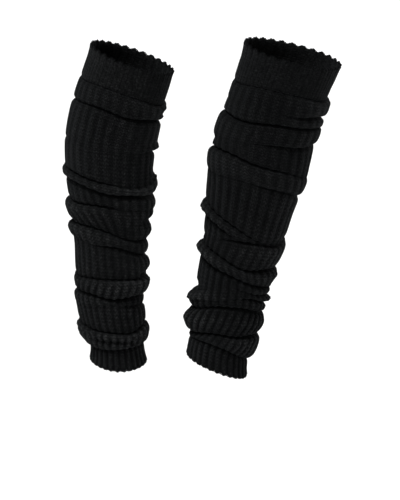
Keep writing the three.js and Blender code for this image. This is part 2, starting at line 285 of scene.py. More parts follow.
# A column of the sections at any heights, along a smooth curve through the rows.
def sectionValue(sections, column, height):
    heights = np.array([row["height"] for row in sections], float)
    values = np.array([row[column] for row in sections], float)
    before = np.maximum(np.arange(len(values)) - 1, 0)
    after = np.minimum(np.arange(len(values)) + 1, len(values) - 1)
    slopes = (values[after] - values[before]) / (heights[after] - heights[before])
    i = np.clip(np.searchsorted(-heights, -height, side="right") - 1, 0, len(values) - 2)
    span = heights[i + 1] - heights[i]
    t = (height - heights[i]) / span
    return (values[i] * (2 * t**3 - 3 * t**2 + 1) + slopes[i] * span * (t**3 - 2 * t**2 + t)
            + values[i + 1] * (3 * t**2 - 2 * t**3) + slopes[i + 1] * span * (t**3 - t**2))


# Points of the cloth that stand off the sections by the given amounts.
def clothPoint(sections, angle, height, standOff):
    halfWidth = sectionValue(sections, "halfWidth", height) + standOff
    halfDepth = sectionValue(sections, "halfDepth", height) + standOff
    return np.stack([sectionValue(sections, "centreX", height) + halfWidth * np.cos(angle),
                     sectionValue(sections, "centreY", height) + halfDepth * np.sin(angle),
                     height], axis=-1)


# Smooth seeded unevenness over the unrolled cloth, from -1 to 1 and closed all round.
def unevenness(turn, down, kind, seed):
    across, along, seedStep = unevenKinds[kind]
    lattice = np.random.default_rng(seed + seedStep).uniform(-1, 1, (along + 2, across))
    x, y = (turn % 1) * across, down * along
    i, j = np.floor(x).astype(int), np.floor(y).astype(int)
    fx, fy = x - i, y - j
    fx, fy = fx * fx * (3 - 2 * fx), fy * fy * (3 - 2 * fy)
    i0, i1 = i % across, (i + 1) % across
    j0, j1 = np.clip(j, 0, along + 1), np.clip(j + 1, 0, along + 1)
    upper = lattice[j0, i0] * (1 - fx) + lattice[j0, i1] * fx
    lower = lattice[j1, i0] * (1 - fx) + lattice[j1, i1] * fx
    return upper * (1 - fy) + lower * fy


# Soft troughs and ridges at a spot of the cloth, each fading out at both of its ends.
def wrinkleRise(wrinkles, angle, height, radius):
    total = np.zeros_like(height)
    for w in wrinkles:
        start, end = math.radians(w["angle"]), math.radians(w["toAngle"])
        middle = (start + end) / 2
        near = (angle - middle + math.pi) % fullTurn - math.pi + middle
        dx, dz = (end - start) * radius, w["toHeight"] - w["height"]
        px, pz = (near - start) * radius, height - w["height"]
        share = np.clip((px * dx + pz * dz) / (dx * dx + dz * dz), 0, 1)
        away = np.hypot(px - share * dx, pz - share * dz)
        ends = np.sin(math.pi * share) ** knit["wrinkleEnds"]
        total += w["rise"] * np.exp(-(away / w["width"]) ** 2) * ends
    return total


# Rows down a fold, spaced evenly round its rounded profile. share is how far down the fold a row lies, rise
# how far out towards the crest, and reach how far from the crease above to the crest, 1 past it.
def foldRows(fold, length):
    out = sum(fold["out" + s] for s in stationNames) / 4 + knit["tuckDepth"] / 2
    crest, power = fold["crest"], 2 / fold["full"]
    upperCount = max(knit["fewestRows"], round(math.hypot(crest * length, out) / knit["rowStep"]))
    lowerCount = max(knit["fewestRows"], round(math.hypot((1 - crest) * length, out) / knit["rowStep"]))
    rows = []
    for k in range(upperCount):
        a = math.pi / 2 * k / upperCount
        reach = 1 - math.cos(a) ** power
        rows.append({"share": crest * reach, "rise": math.sin(a) ** power, "reach": reach})
    for k in range(lowerCount):
        a = math.pi / 2 * k / lowerCount
        share = crest + (1 - crest) * math.sin(a) ** power
        rows.append({"share": share, "rise": math.cos(a) ** power, "reach": 1})
    return rows


# The mesh rows of a leg tube from its top seam to its ankle seam. down is how far down the tube a row lies.
def tubeRows(warmer):
    folds, plan = warmer["folds"], []
    for index, fold in enumerate(folds):
        below = folds[index + 1] if index + 1 < len(folds) else warmer["ankleSeam"]
        length = sum(fold["z" + s] - below["z" + s] for s in stationNames) / 4
        plan += [{"fold": index, "length": length, **row} for row in foldRows(fold, length)]
    plan.append({"fold": len(folds) - 1, "length": length, "share": 1.0, "rise": 0.0, "reach": 1})
    for number, row in enumerate(plan):
        row["down"] = number / (len(plan) - 1)
    return plan


# How far down the tube each spot of the grid lies, 0 to 1.
def downOf(plan, angles):
    return np.array([[row["down"]] for row in plan]) * np.ones_like(angles)


# How far the cloth is drawn in at a distance from a crease.
def tuckAt(distance, depth):
    return depth * np.exp(-(np.abs(distance) / knit["tuckWidth"]) ** knit["tuckTaper"])


# Height and stand-off of the leg tube's outside, for every row of the plan at the angles of its columns,
# and how deep in a crease each of these spots lies, 0 to 1.
def tubeProfile(warmer, plan, angles):
    folds, seam = warmer["folds"], warmer["ankleSeam"]
    heights, standOffs, depths = np.zeros_like(angles), np.zeros_like(angles), np.zeros_like(angles)
    for number, row in enumerate(plan):
        index, share, reach, angle = row["fold"], row["share"], row["reach"], angles[number]
        fold, last = folds[index], row["fold"] == len(folds) - 1
        upper = creaseHeight(folds, index, angle) - (knit["seamGap"] if index == 0 else 0)
        lower = ringValue(seam, "z", angle) if last else creaseHeight(folds, index + 1, angle)
        upperOff, out = ringValue(fold, "off", angle), ringValue(fold, "out", angle)
        lowerOff = np.zeros_like(angle) if last else ringValue(folds[index + 1], "off", angle)
        length = upper - lower
        tuck = (tuckAt(share * length, tuckDepth(folds, index, angle))
                + tuckAt((1 - share) * length, tuckDepth(folds, index + 1, angle)))
        crease = upperOff if reach < 1 else lowerOff
        heights[number] = upper - length * share + knit["tuckSlant"] * tuck
        if reach < 1:
            heights[number] += fold["lip"] * out * 4 * reach * (1 - reach)
        standOffs[number] = crease + (out - crease) * row["rise"] - tuck
        depths[number] = np.clip(tuck / knit["tuckDepth"], 0, 1)
    down, turns = downOf(plan, angles), angles / fullTurn
    calm = np.minimum(1, np.minimum(down, 1 - down) * knit["seamCalm"])
    radius = sectionValue(warmer["sections"], "halfWidth", heights)
    standOffs += calm * wrinkleRise(warmer["wrinkles"], angles, heights, radius)
    for kind in ("swell", "ripple"):
        standOffs += calm * knit[kind] * unevenness(turns, down, kind, warmer["seed"])
    return heights, standOffs, depths


# The columns follow the ribs, which turn one way or the other down to each sharp crease and waver a little.
def tubeAngles(warmer, plan, columns):
    turn = np.arange(columns) / columns
    folds = warmer["folds"]
    angles = np.zeros((len(plan), columns))
    for number, row in enumerate(plan):
        index, share, down = row["fold"], row["share"], np.full(columns, row["down"])
        hidden = min(1, share * row["length"] / knit["tuckWidth"],
                     (1 - share) * row["length"] / knit["tuckWidth"])
        turned = (share * creaseSharpness(folds, index + 1, fullTurn * turn)
                  - (1 - share) * creaseSharpness(folds, index, fullTurn * turn))
        degrees = folds[index]["lean"] * turned * hidden
        for kind in ("drift", "wobble"):
            degrees += knit[kind] * unevenness(turn, down, kind, warmer["seed"])
        angles[number] = fullTurn * turn + np.radians(degrees)
    return angles


# The inside of the leg tube: the wall's thickness in from the outside, with no overhang of its own.
def tubeInside(warmer, plan, columns):
    plain = np.tile(fullTurn * np.arange(columns) / columns, (len(plan), 1))
    outHeights, outOffs = tubeProfile(warmer, plan, plain)[:2]
    finer = np.linspace(0, len(plan) - 1, knit["insideFineness"] * (len(plan) - 1) + 1)
    before = np.minimum(finer.astype(int), len(plan) - 2)
    blend = (finer - before)[:, None]
    outHeights = outHeights[before] * (1 - blend) + outHeights[before + 1] * blend
    outOffs = outOffs[before] * (1 - blend) + outOffs[before + 1] * blend
    creases = [number for number, row in enumerate(plan) if row["share"] == 0] + [len(plan) - 1]
    levels = outHeights[[knit["insideFineness"] * number for number in creases]]
    heights = [levels[0]]
    for upper, lower in zip(levels[:-1], levels[1:]):
        near = np.minimum(knit["insideBand"], (upper - lower) / 4)
        heights += [upper - near, (upper + lower) / 2, lower + near, lower]
    heights = np.array(heights)
    standOffs = np.zeros_like(heights)
    for number, level in enumerate(heights):
        apart = np.minimum(np.abs(outHeights - level), knit["wall"])
        reach = outOffs - np.sqrt(knit["wall"] ** 2 - apart**2)
        standOffs[number] = np.where(apart < knit["wall"], reach, np.inf).min(axis=0)
    standOffs[0], standOffs[-1] = outOffs[0] - knit["wall"], outOffs[-1] - knit["wall"]
    return clothPoint(warmer["sections"], plain[:1] * np.ones((len(heights), 1)), heights, standOffs)


# A new object in the scene that holds a mesh, a light or a camera.
def addObject(name, content):
    added = bpy.data.objects.new(name, content)
    bpy.context.scene.collection.objects.link(added)
    return added


# Gives each point of a mesh a number or, where field is vector, a direction.
def addAttribute(mesh, name, kind, field, values):
    attribute = mesh.attributes.new(name, kind, "POINT")
    attribute.data.foreach_set(field, values.astype(np.float32).ravel())


# A closed wall from an outside and an inside grid of points, with rounded or square ends between them. rims
# says how far the top and the bottom end bulge. relief gives, for the outside's points, how much of the ribs'
# rise shows there, and the last argument how much painted light they get.
def wallMesh(name, outside, inside, ribs, stitch, rims, relief, paintedLight):
    columns = outside.shape[1]
    rows = [outside]
    for upEnd, roundness in ((False, rims[1]), (True, rims[0])):
        outer = outside[0] if upEnd else outside[-1]
        inner = inside[0] if upEnd else inside[-1]
        middle, half = (outer + inner) / 2, (outer - inner) / 2
        arc = []
        for step in (0.25, 0.5, 0.75) if roundness else (0.5,):
            ring = middle + half * math.cos(math.pi * step)
            ring[:, 2] += roundness * math.sin(math.pi * step) * (1 if upEnd else -1)
            arc.append(ring)
        rows += [inside[::-1], np.array(arc[::-1])] if upEnd else [np.array(arc)]
    grid = np.concatenate(rows)
    outsideCount, rimCount, insideCount = len(outside), len(rows[1]), len(inside)
    shown = np.full((len(grid), columns), knit["rimRelief"])
    shown[:outsideCount] = relief
    shown[outsideCount + rimCount:outsideCount + rimCount + insideCount] = knit["insideRelief"]
    travel = np.linalg.norm(np.diff(np.vstack([grid, grid[:1]]), axis=0), axis=2).mean(axis=1)
    courses = np.concatenate([[0], np.cumsum(travel)]) / stitch["height"]
    ringTotal = len(grid)
    index = np.arange(ringTotal * columns).reshape(ringTotal, columns)
    down, right = np.roll(index, -1, axis=0), np.roll(index, -1, axis=1)
    corner = np.roll(down, -1, axis=1)
    faces = np.stack([index, down, corner, right], axis=-1).reshape(-1, 4)
    mesh = bpy.data.meshes.new(name)
    mesh.from_pydata((grid.reshape(-1, 3) * mm).tolist(), [], faces.tolist())
    u = np.arange(columns + 1) * ribs * stitch["perRib"] / columns
    uLeft = np.tile(u[:-1], (ringTotal, 1))
    uRight = np.tile(u[1:], (ringTotal, 1))
    vTop = np.tile(courses[:-1, None], (1, columns))
    vBottom = np.tile(courses[1:, None], (1, columns))
    corners = np.stack([np.stack([uLeft, vTop], -1), np.stack([uLeft, vBottom], -1),
                        np.stack([uRight, vBottom], -1), np.stack([uRight, vTop], -1)], axis=2)
    mesh.uv_layers.new(name="knitCourse").data.foreach_set("uv", corners.astype(np.float32).ravel())
    # The painted light of each point, at an even level inside.
    paintedLightLevel = np.full((len(grid), columns), knit["insidePaintedLight"])
    paintedLightLevel[:outsideCount] = paintedLight
    addAttribute(mesh, "ribTurn", "FLOAT", "value", np.tile(np.arange(columns) * ribs / columns, ringTotal))
    addAttribute(mesh, "relief", "FLOAT", "value", shown)
    addAttribute(mesh, "paintedLight", "FLOAT", "value", paintedLightLevel)
    return addObject(name, mesh)


# Socket and node helpers for the trees below.
def addSocket(tree, name, kind, value=None):
    socket = tree.interface.new_socket(name=name, in_out="INPUT", socket_type="NodeSocket" + kind)
    if value is not None:
        socket.default_value = value


def mathNode(tree, operation, first, second=None):
    node = tree.nodes.new("ShaderNodeMath")
    node.operation = operation
    for socket, value in zip(node.inputs, (first, second)):
        if isinstance(value, bpy.types.NodeSocket):
            tree.links.new(value, socket)
        elif value is not None:
            socket.default_value = value
    return node.outputs[0]


# A value times a factor, with a base added.
def scaledNode(tree, value, factor, base):
    return mathNode(tree, "ADD", mathNode(tree, "MULTIPLY", value, factor), base)


# 0 on the middle of each rib and 1 in the groove beside it, from a count round the cloth, perRib to a rib.
def grooveNode(tree, count, perRib):
    wave = mathNode(tree, "COSINE", mathNode(tree, "MULTIPLY", count, fullTurn / perRib))
    return mathNode(tree, "SUBTRACT", 0.5, mathNode(tree, "MULTIPLY", wave, 0.5))


def namedFloat(tree, name):
    node = tree.nodes.new("GeometryNodeInputNamedAttribute")
    node.data_type = "FLOAT"
    node.inputs["Name"].default_value = name
    return node.outputs["Attribute"]


# Ends a tree: smooth shading, real geometry and the material.
def finishTree(tree, geometry, material):
    smooth = tree.nodes.new("GeometryNodeSetShadeSmooth")
    realize = tree.nodes.new("GeometryNodeRealizeInstances")
    setMaterial = tree.nodes.new("GeometryNodeSetMaterial")
    output = tree.nodes.new("NodeGroupOutput")
    tree.links.new(geometry, smooth.inputs["Geometry"])
    tree.links.new(smooth.outputs[0], realize.inputs[0])
    tree.links.new(realize.outputs[0], setMaterial.inputs["Geometry"])
    tree.links.new(material, setMaterial.inputs["Material"])
    tree.links.new(setMaterial.outputs[0], output.inputs[0])


# Raises the ribs of a knitted wall: rounded ridges with narrow grooves between them.
def ribTree():
    tree = bpy.data.node_groups.new("raise knitted ribs", "GeometryNodeTree")
    tree.interface.new_socket(name="Geometry", in_out="OUTPUT", socket_type="NodeSocketGeometry")
    addSocket(tree, "Geometry", "Geometry")
    addSocket(tree, "Rib Rise", "Float", 0.0008)
    addSocket(tree, "Groove Sharpness", "Float", 1.5)
    addSocket(tree, "Unevenness", "Float", 0.3)
    addSocket(tree, "Seed", "Float", 0.0)
    addSocket(tree, "Knit", "Material")
    inputs = tree.nodes.new("NodeGroupInput").outputs
    valley = grooveNode(tree, namedFloat(tree, "ribTurn"), 1)
    valley = mathNode(tree, "POWER", mathNode(tree, "MAXIMUM", valley, 0.0), inputs["Groove Sharpness"])
    profile = mathNode(tree, "SUBTRACT", 1.0, mathNode(tree, "MULTIPLY", valley, 2.0))
    noise = tree.nodes.new("ShaderNodeTexNoise")
    noise.noise_dimensions = "4D"
    noise.inputs["Scale"].default_value = 95.0
    noise.inputs["Detail"].default_value = 2.0
    tree.links.new(inputs["Seed"], noise.inputs["W"])
    spread = mathNode(tree, "MULTIPLY", mathNode(tree, "SUBTRACT", noise.outputs["Fac"], 0.5), 2.0)
    uneven = scaledNode(tree, spread, inputs["Unevenness"], 1.0)
    rise = mathNode(tree, "MULTIPLY", mathNode(tree, "MULTIPLY", profile, uneven), inputs["Rib Rise"])
    rise = mathNode(tree, "MULTIPLY", rise, namedFloat(tree, "relief"))
    offset = tree.nodes.new("ShaderNodeVectorMath")
    offset.operation = "SCALE"
    normal = tree.nodes.new("GeometryNodeInputNormal")
    tree.links.new(normal.outputs[0], offset.inputs[0])
    tree.links.new(rise, offset.inputs["Scale"])
    move = tree.nodes.new("GeometryNodeSetPosition")
    tree.links.new(inputs["Geometry"], move.inputs["Geometry"])
    tree.links.new(offset.outputs[0], move.inputs["Offset"])
    finishTree(tree, move.outputs[0], inputs["Knit"])
    return tree


# Lays a chain of knitted loops along an edge: one small ring of yarn for each cast-off stitch.
def castOffTree():
    tree = bpy.data.node_groups.new("cast-off loops along an edge", "GeometryNodeTree")
    tree.interface.new_socket(name="Geometry", in_out="OUTPUT", socket_type="NodeSocketGeometry")
    addSocket(tree, "Geometry", "Geometry")
    addSocket(tree, "Loops", "Int", 100)
    addSocket(tree, "Loop Length", "Float", 0.004)
    addSocket(tree, "Loop Width", "Float", 0.002)
    addSocket(tree, "Yarn Radius", "Float", 0.0005)
    addSocket(tree, "Tilt", "Float", 0.5)
    addSocket(tree, "Seed", "Int", 0)
    addSocket(tree, "Knit", "Material")
    inputs = tree.nodes.new("NodeGroupInput").outputs
    path = tree.nodes.new("GeometryNodeMeshToCurve")
    tree.links.new(inputs["Geometry"], path.inputs[0])
    spaced = tree.nodes.new("GeometryNodeResampleCurve")
    tree.links.new(path.outputs[0], spaced.inputs["Curve"])
    tree.links.new(inputs["Loops"], spaced.inputs["Count"])
    ring = tree.nodes.new("GeometryNodeCurvePrimitiveCircle")
    ring.inputs["Resolution"].default_value = 10
    ring.inputs["Radius"].default_value = 0.5
    size = tree.nodes.new("ShaderNodeCombineXYZ")
    tree.links.new(inputs["Loop Length"], size.inputs["X"])
    tree.links.new(inputs["Loop Width"], size.inputs["Y"])
    size.inputs["Z"].default_value = 1.0
    shapeRing = tree.nodes.new("GeometryNodeTransform")
    tree.links.new(ring.outputs[0], shapeRing.inputs["Geometry"])
    tree.links.new(size.outputs[0], shapeRing.inputs["Scale"])
    yarn = tree.nodes.new("GeometryNodeCurvePrimitiveCircle")
    yarn.inputs["Resolution"].default_value = 6
    tree.links.new(inputs["Yarn Radius"], yarn.inputs["Radius"])
    loop = tree.nodes.new("GeometryNodeCurveToMesh")
    tree.links.new(shapeRing.outputs[0], loop.inputs["Curve"])
    tree.links.new(yarn.outputs[0], loop.inputs["Profile Curve"])
    outward = tree.nodes.new("GeometryNodeInputNamedAttribute")
    outward.data_type = "FLOAT_VECTOR"
    outward.inputs["Name"].default_value = "outward"
    tangent = tree.nodes.new("GeometryNodeInputTangent")
    turn = tree.nodes.new("FunctionNodeAxesToRotation")
    turn.primary_axis = "X"
    turn.secondary_axis = "Z"
    tree.links.new(tangent.outputs[0], turn.inputs["Primary Axis"])
    tree.links.new(outward.outputs["Attribute"], turn.inputs["Secondary Axis"])
    place = tree.nodes.new("GeometryNodeInstanceOnPoints")
    tree.links.new(spaced.outputs[0], place.inputs["Points"])
    tree.links.new(loop.outputs[0], place.inputs["Instance"])
    tree.links.new(turn.outputs[0], place.inputs["Rotation"])
    jitter = tree.nodes.new("FunctionNodeRandomValue")
    jitter.data_type = "FLOAT"
    jitter.inputs[2].default_value = 0.8
    jitter.inputs[3].default_value = 1.2
    tree.links.new(inputs["Seed"], jitter.inputs["Seed"])
    lean = tree.nodes.new("ShaderNodeCombineXYZ")
    tree.links.new(mathNode(tree, "MULTIPLY", jitter.outputs[1], inputs["Tilt"]), lean.inputs["Y"])
    tilt = tree.nodes.new("GeometryNodeRotateInstances")
    tree.links.new(place.outputs[0], tilt.inputs["Instances"])
    tree.links.new(lean.outputs[0], tilt.inputs["Rotation"])
    finishTree(tree, tilt.outputs[0], inputs["Knit"])
    return tree


# Runs a tree on a piece with the named inputs set, and keeps the result as a plain mesh.
def bakeTree(piece, tree, values):
    modifier = piece.modifiers.new("build", "NODES")
    modifier.node_group = tree
    for item in tree.interface.items_tree:
        if item.item_type == "SOCKET" and item.in_out == "INPUT" and item.name in values:
            modifier[item.identifier] = values[item.name]
    graph = bpy.context.evaluated_depsgraph_get()
    finished = bpy.data.meshes.new_from_object(piece.evaluated_get(graph), preserve_all_data_layers=True,
                                               depsgraph=graph)
    piece.modifiers.clear()
    old = piece.data
    piece.data = finished
    bpy.data.meshes.remove(old)
    finished.name = piece.name
    for attribute in ("ribTurn", "outward"):
        if attribute in finished.attributes:
            finished.attributes.remove(finished.attributes[attribute])


knitLook = {
    "wool": (0.0008, 0.0009, 0.0010),     # linear colour of the black yarn
    "lit": (0.0275, 0.0284, 0.0288),      # the colour the tone mixes towards, where painted light, painted glints and lit stitch tops are strongest
    "roughness": 0.92,
    "specular": 0.03,
    "sheen": 0.019,
    "sheenRoughness": 0.55,
    "sheenTint": (0.86, 0.94, 1.0),
    "stitchDepth": 0.0009,                # in metres
    "stitchSlant": 1.3,                   # how steeply the two arms of a V run
    "stitchSides": 0.6,                   # how rounded a stitch is across its arm, and along it
    "stitchEnds": 0.7,
    "fibreRelief": 0.7,                   # loose fibres, against the height of a stitch
    "glintGain": 1.9,                     # painted glints: flecks of fibre painted lighter as if catching the light; how many, how sharp and how strong
    "glintPower": 3.0,
    "glintShare": 0.85,
    "patchBase": 0.4,                     # what the darkest patches keep of their tone
    "middleTone": 0.5,                    # the tone where a stitch is middleHeight high, at any contrast
    "middleHeight": 0.6,
}


# Noise over the piece's own coordinates, with this many cells to a metre.
def noiseNode(tree, place, scale, detail, roughness=0.5):
    noise = tree.nodes.new("ShaderNodeTexNoise")
    noise.inputs["Scale"].default_value = scale
    noise.inputs["Detail"].default_value = detail
    noise.inputs["Roughness"].default_value = roughness
    tree.links.new(place, noise.inputs["Vector"])
    return noise.outputs["Fac"]


# A number that the mesh carries at each of its points.
def meshNumber(tree, name):
    node = tree.nodes.new("ShaderNodeAttribute")
    node.attribute_name = name
    return node.outputs["Fac"]


# Matt yarn in rows of small V-shaped stitches that follow the cloth's own courses, with painted shade in the
# grooves between the ribs wherever the relief attribute says that they are deep, painted shade and light on
# each stitch, painted glints, and painted light from the mesh's own attribute.
def knitMaterial(name, stitchBump, stitchShading, ribShade, stitchesPerRib):
    material = bpy.data.materials.new(name)
    material.use_nodes = True
    tree = material.node_tree
    shader = tree.nodes["Principled BSDF"]
    shader.inputs["Roughness"].default_value = knitLook["roughness"]
    shader.inputs["Specular IOR Level"].default_value = knitLook["specular"]
    shader.inputs["Sheen Weight"].default_value = knitLook["sheen"]
    shader.inputs["Sheen Roughness"].default_value = knitLook["sheenRoughness"]
    shader.inputs["Sheen Tint"].default_value = (*knitLook["sheenTint"], 1)
    course = tree.nodes.new("ShaderNodeUVMap")
    course.uv_map = "knitCourse"
    split = tree.nodes.new("ShaderNodeSeparateXYZ")
    tree.links.new(course.outputs[0], split.inputs[0])
    across = mathNode(tree, "SUBTRACT", mathNode(tree, "FRACT", split.outputs["X"]), 0.5)
    across = mathNode(tree, "ABSOLUTE", across)
    slant = mathNode(tree, "MULTIPLY", across, knitLook["stitchSlant"])
    slant = mathNode(tree, "ADD", split.outputs["Y"], slant)
    arm = mathNode(tree, "COSINE", mathNode(tree, "MULTIPLY", slant, fullTurn))
    arm = mathNode(tree, "POWER", scaledNode(tree, arm, 0.5, 0.5), knitLook["stitchEnds"])
    side = mathNode(tree, "SINE", mathNode(tree, "MULTIPLY", across, fullTurn))
    side = mathNode(tree, "POWER", side, knitLook["stitchSides"])
    stitch = mathNode(tree, "MULTIPLY", side, arm)
    place = tree.nodes.new("ShaderNodeTexCoord").outputs["Object"]
    fibre = noiseNode(tree, place, scale=1500.0, detail=4.0, roughness=0.7)
    bump = tree.nodes.new("ShaderNodeBump")
    bump.inputs["Strength"].default_value = stitchBump
    bump.inputs["Distance"].default_value = knitLook["stitchDepth"]
    tree.links.new(scaledNode(tree, fibre, knitLook["fibreRelief"], stitch), bump.inputs["Height"])
    tree.links.new(bump.outputs[0], shader.inputs["Normal"])
    patches = noiseNode(tree, place, scale=38.0, detail=5.0)
    patches = mathNode(tree, "ADD", patches, knitLook["patchBase"])
    # Painted glints: small flecks painted lighter, as if fibres caught the light.
    glint = noiseNode(tree, place, scale=420.0, detail=2.0)
    glint = mathNode(tree, "MULTIPLY", glint, knitLook["glintGain"])
    glint = mathNode(tree, "POWER", glint, knitLook["glintPower"])
    glint = scaledNode(tree, glint, knitLook["glintShare"], 1 - knitLook["glintShare"])
    # Painted shade and light on each stitch: its colour follows its bump, darker between the stitches and
    # lighter on their tops.
    toneBase = knitLook["middleTone"] - stitchShading * knitLook["middleHeight"]
    tone = mathNode(tree, "MULTIPLY", scaledNode(tree, stitch, stitchShading, toneBase), patches)
    tone = mathNode(tree, "MULTIPLY", tone, glint)
    # Painted shade: the grooves between the ribs are painted darker, the more the relief attribute says they
    # are deep.
    relief = mathNode(tree, "MAXIMUM", meshNumber(tree, "relief"), 0.0)
    groove = grooveNode(tree, split.outputs["X"], stitchesPerRib)
    shade = mathNode(tree, "MULTIPLY", groove, mathNode(tree, "MULTIPLY", relief, ribShade))
    tone = mathNode(tree, "MULTIPLY", tone, mathNode(tree, "SUBTRACT", 1.0, shade))
    # Painted light and shade from the mesh's own attribute: lighter where folds stand out.
    tone = mathNode(tree, "MULTIPLY", tone, meshNumber(tree, "paintedLight"))
    colour = tree.nodes.new("ShaderNodeMix")
    colour.data_type = "RGBA"
    colour.inputs[6].default_value = (*knitLook["wool"], 1)
    colour.inputs[7].default_value = (*knitLook["lit"], 1)
    tree.links.new(tone, colour.inputs[0])
    tree.links.new(colour.outputs[2], shader.inputs["Base Color"])
    return material


ribKnit = knitMaterial("black wide-rib knit", stitchBump=0.8, stitchShading=0.65, ribShade=0.85,
                       stitchesPerRib=3)
cuffKnit = knitMaterial("black cuff knit", stitchBump=0.5, stitchShading=0.30, ribShade=0.25,
                        stitchesPerRib=1)
print("knit materials ready")

raiseRibs = ribTree()
castOff = castOffTree()


# Raises a piece's ribs by so many millimetres.
def bakeRibs(piece, look, ribRise, seed, material):
    bakeTree(piece, raiseRibs, {"Rib Rise": ribRise * mm, "Groove Sharpness": look["groove"],
                                "Unevenness": look["uneven"], "Seed": float(seed), "Knit": material})


legTube = {
    "ribRiseTop": 0.5,          # the ribs are stretched flatter towards the top
    "ribRiseBottom": 0.95,
    "ribPatches": 0.3,          # and unevenly, by this share
    "creaseFlat": 0.8,          # how much of the ribs' rise is lost in a crease
    "groove": 1.5,
    "uneven": 0.5,
    "stitch": {"height": 3.4, "perRib": 3},
    "paintedLightLow": 0.46,             # painted light: the level on flat cloth; folds that stand out are painted lighter, by the rise where they stand the reach off
    "paintedLightRise": 1.75,
    "paintedLightReach": 8.0,
    "paintedLightPower": 1.5,
    "paintedLightTop": 0.8,            # and the upper part less so: painted shade, darker towards the top
}


def makeLegTube(warmer):
    columns = knit["ribs"] * knit["columnsPerRib"]
    plan = tubeRows(warmer)
    angles = tubeAngles(warmer, plan, columns)
    heights, standOffs, depths = tubeProfile(warmer, plan, angles)
    outside = clothPoint(warmer["sections"], angles, heights, standOffs)
    inside = tubeInside(warmer, plan, columns)
    down = downOf(plan, angles)
    rise = legTube["ribRiseTop"] + (legTube["ribRiseBottom"] - legTube["ribRiseTop"]) * down
    patches = 1 + legTube["ribPatches"] * unevenness(angles / fullTurn, down, "ribPatches", warmer["seed"])
    relief = rise * patches * (1 - legTube["creaseFlat"] * np.sqrt(depths)) / legTube["ribRiseBottom"]
    # Painted light: folds that stand out are painted lighter; it fades towards the top and with the warmer's
    # own level, as painted shade.
    outness = np.clip(standOffs / legTube["paintedLightReach"], 0, 1) ** legTube["paintedLightPower"]
    paintedLight = legTube["paintedLightLow"] + legTube["paintedLightRise"] * outness
    paintedLight *= warmer["paintedLightLevel"] * (legTube["paintedLightTop"] + (1 - legTube["paintedLightTop"]) * down)
    piece = wallMesh(warmer["name"] + "LegTube", outside, inside, knit["ribs"], legTube["stitch"], (0, 0),
                     relief, paintedLight)
    bakeRibs(piece, legTube, legTube["ribRiseBottom"], warmer["seed"], ribKnit)
    return piece


# The two sides of a cuff from top to bottom. heightAt and offAt give each row's height and stand-off, and
# seamRow is the row that the seam with the leg tube draws in.
def cuffGrid(warmer, columns, rowCount, heightAt, offAt, seamRow):
    turn = np.arange(columns) / columns
    angle = fullTurn * turn
    shares = np.linspace(0, 1, rowCount)
    heights = np.array([heightAt(angle, share) for share in shares])
    standOffs = np.array([offAt(angle, share) * np.ones(columns) for share in shares])
    down = shares[:, None] * np.ones(columns)
    turns = np.ones((rowCount, 1)) * turn
    swell = unevenness(turns, down, "cuffSwell", warmer["seed"])
    standOffs += knit["cuffSwell"] * np.sin(math.pi * down) * swell
    tuck = tuckAt(heights - heights[seamRow], knit["seamTuck"])
    heights, standOffs = heights + knit["tuckSlant"] * tuck, standOffs - tuck
    angles = np.tile(angle, (rowCount, 1))
    outside = clothPoint(warmer["sections"], angles, heights, standOffs)
    inside = clothPoint(warmer["sections"], angles, heights, standOffs - knit["wall"])
    return outside, inside


# A closed line of points along a cuff's free edge, with the way out of the cloth at each, for its chain.
def edgeLine(name, outside, inside, centreOffset):
    points = (outside + inside) / 2
    points[:, 2] += centreOffset
    outward = outside - inside
    outward /= np.linalg.norm(outward, axis=1)[:, None]
    count = len(points)
    mesh = bpy.data.meshes.new(name)
    mesh.from_pydata((points * mm).tolist(), [(k, (k + 1) % count) for k in range(count)], [])
    addAttribute(mesh, "outward", "FLOAT_VECTOR", "vector", outward)
    return addObject(name, mesh)


# The cast-off loops along a cuff's free edge.
def makeChain(name, outside, inside, chain, seed, material):
    piece = edgeLine(name, outside, inside, chain["lift"])
    bakeTree(piece, castOff, {"Loops": chain["loops"], "Loop Length": chain["length"] * mm,
                              "Loop Width": chain["width"] * mm, "Yarn Radius": chain["yarn"] * mm,
                              "Tilt": chain["tilt"], "Seed": seed, "Knit": material})
    return piece


topCuff = {
    "rows": 30,
    "ribRise": 0.25,
    "groove": 1.3,
    "uneven": 0.5,
    "stitch": {"height": 3.0, "perRib": 1},
    "scallops": 28,
    "scallopRise": 1.1,
    "scallopFlare": 0.5,
    "bead": 0.6,                # the top edge is thicker, over this share of the cuff
    "beadReach": 0.14,
    "swell": 0.8,               # the cuff stands off most at swellPlace, a share of the way down
    "swellPlace": 0.6,
    "rim": 1.0,
    # how much painted light the top cuff gets
    "paintedLight": 0.42,
    "chain": {"loops": 120, "length": 3.4, "width": 2.4, "yarn": 0.55, "tilt": 0.35, "lift": 0.3},
}


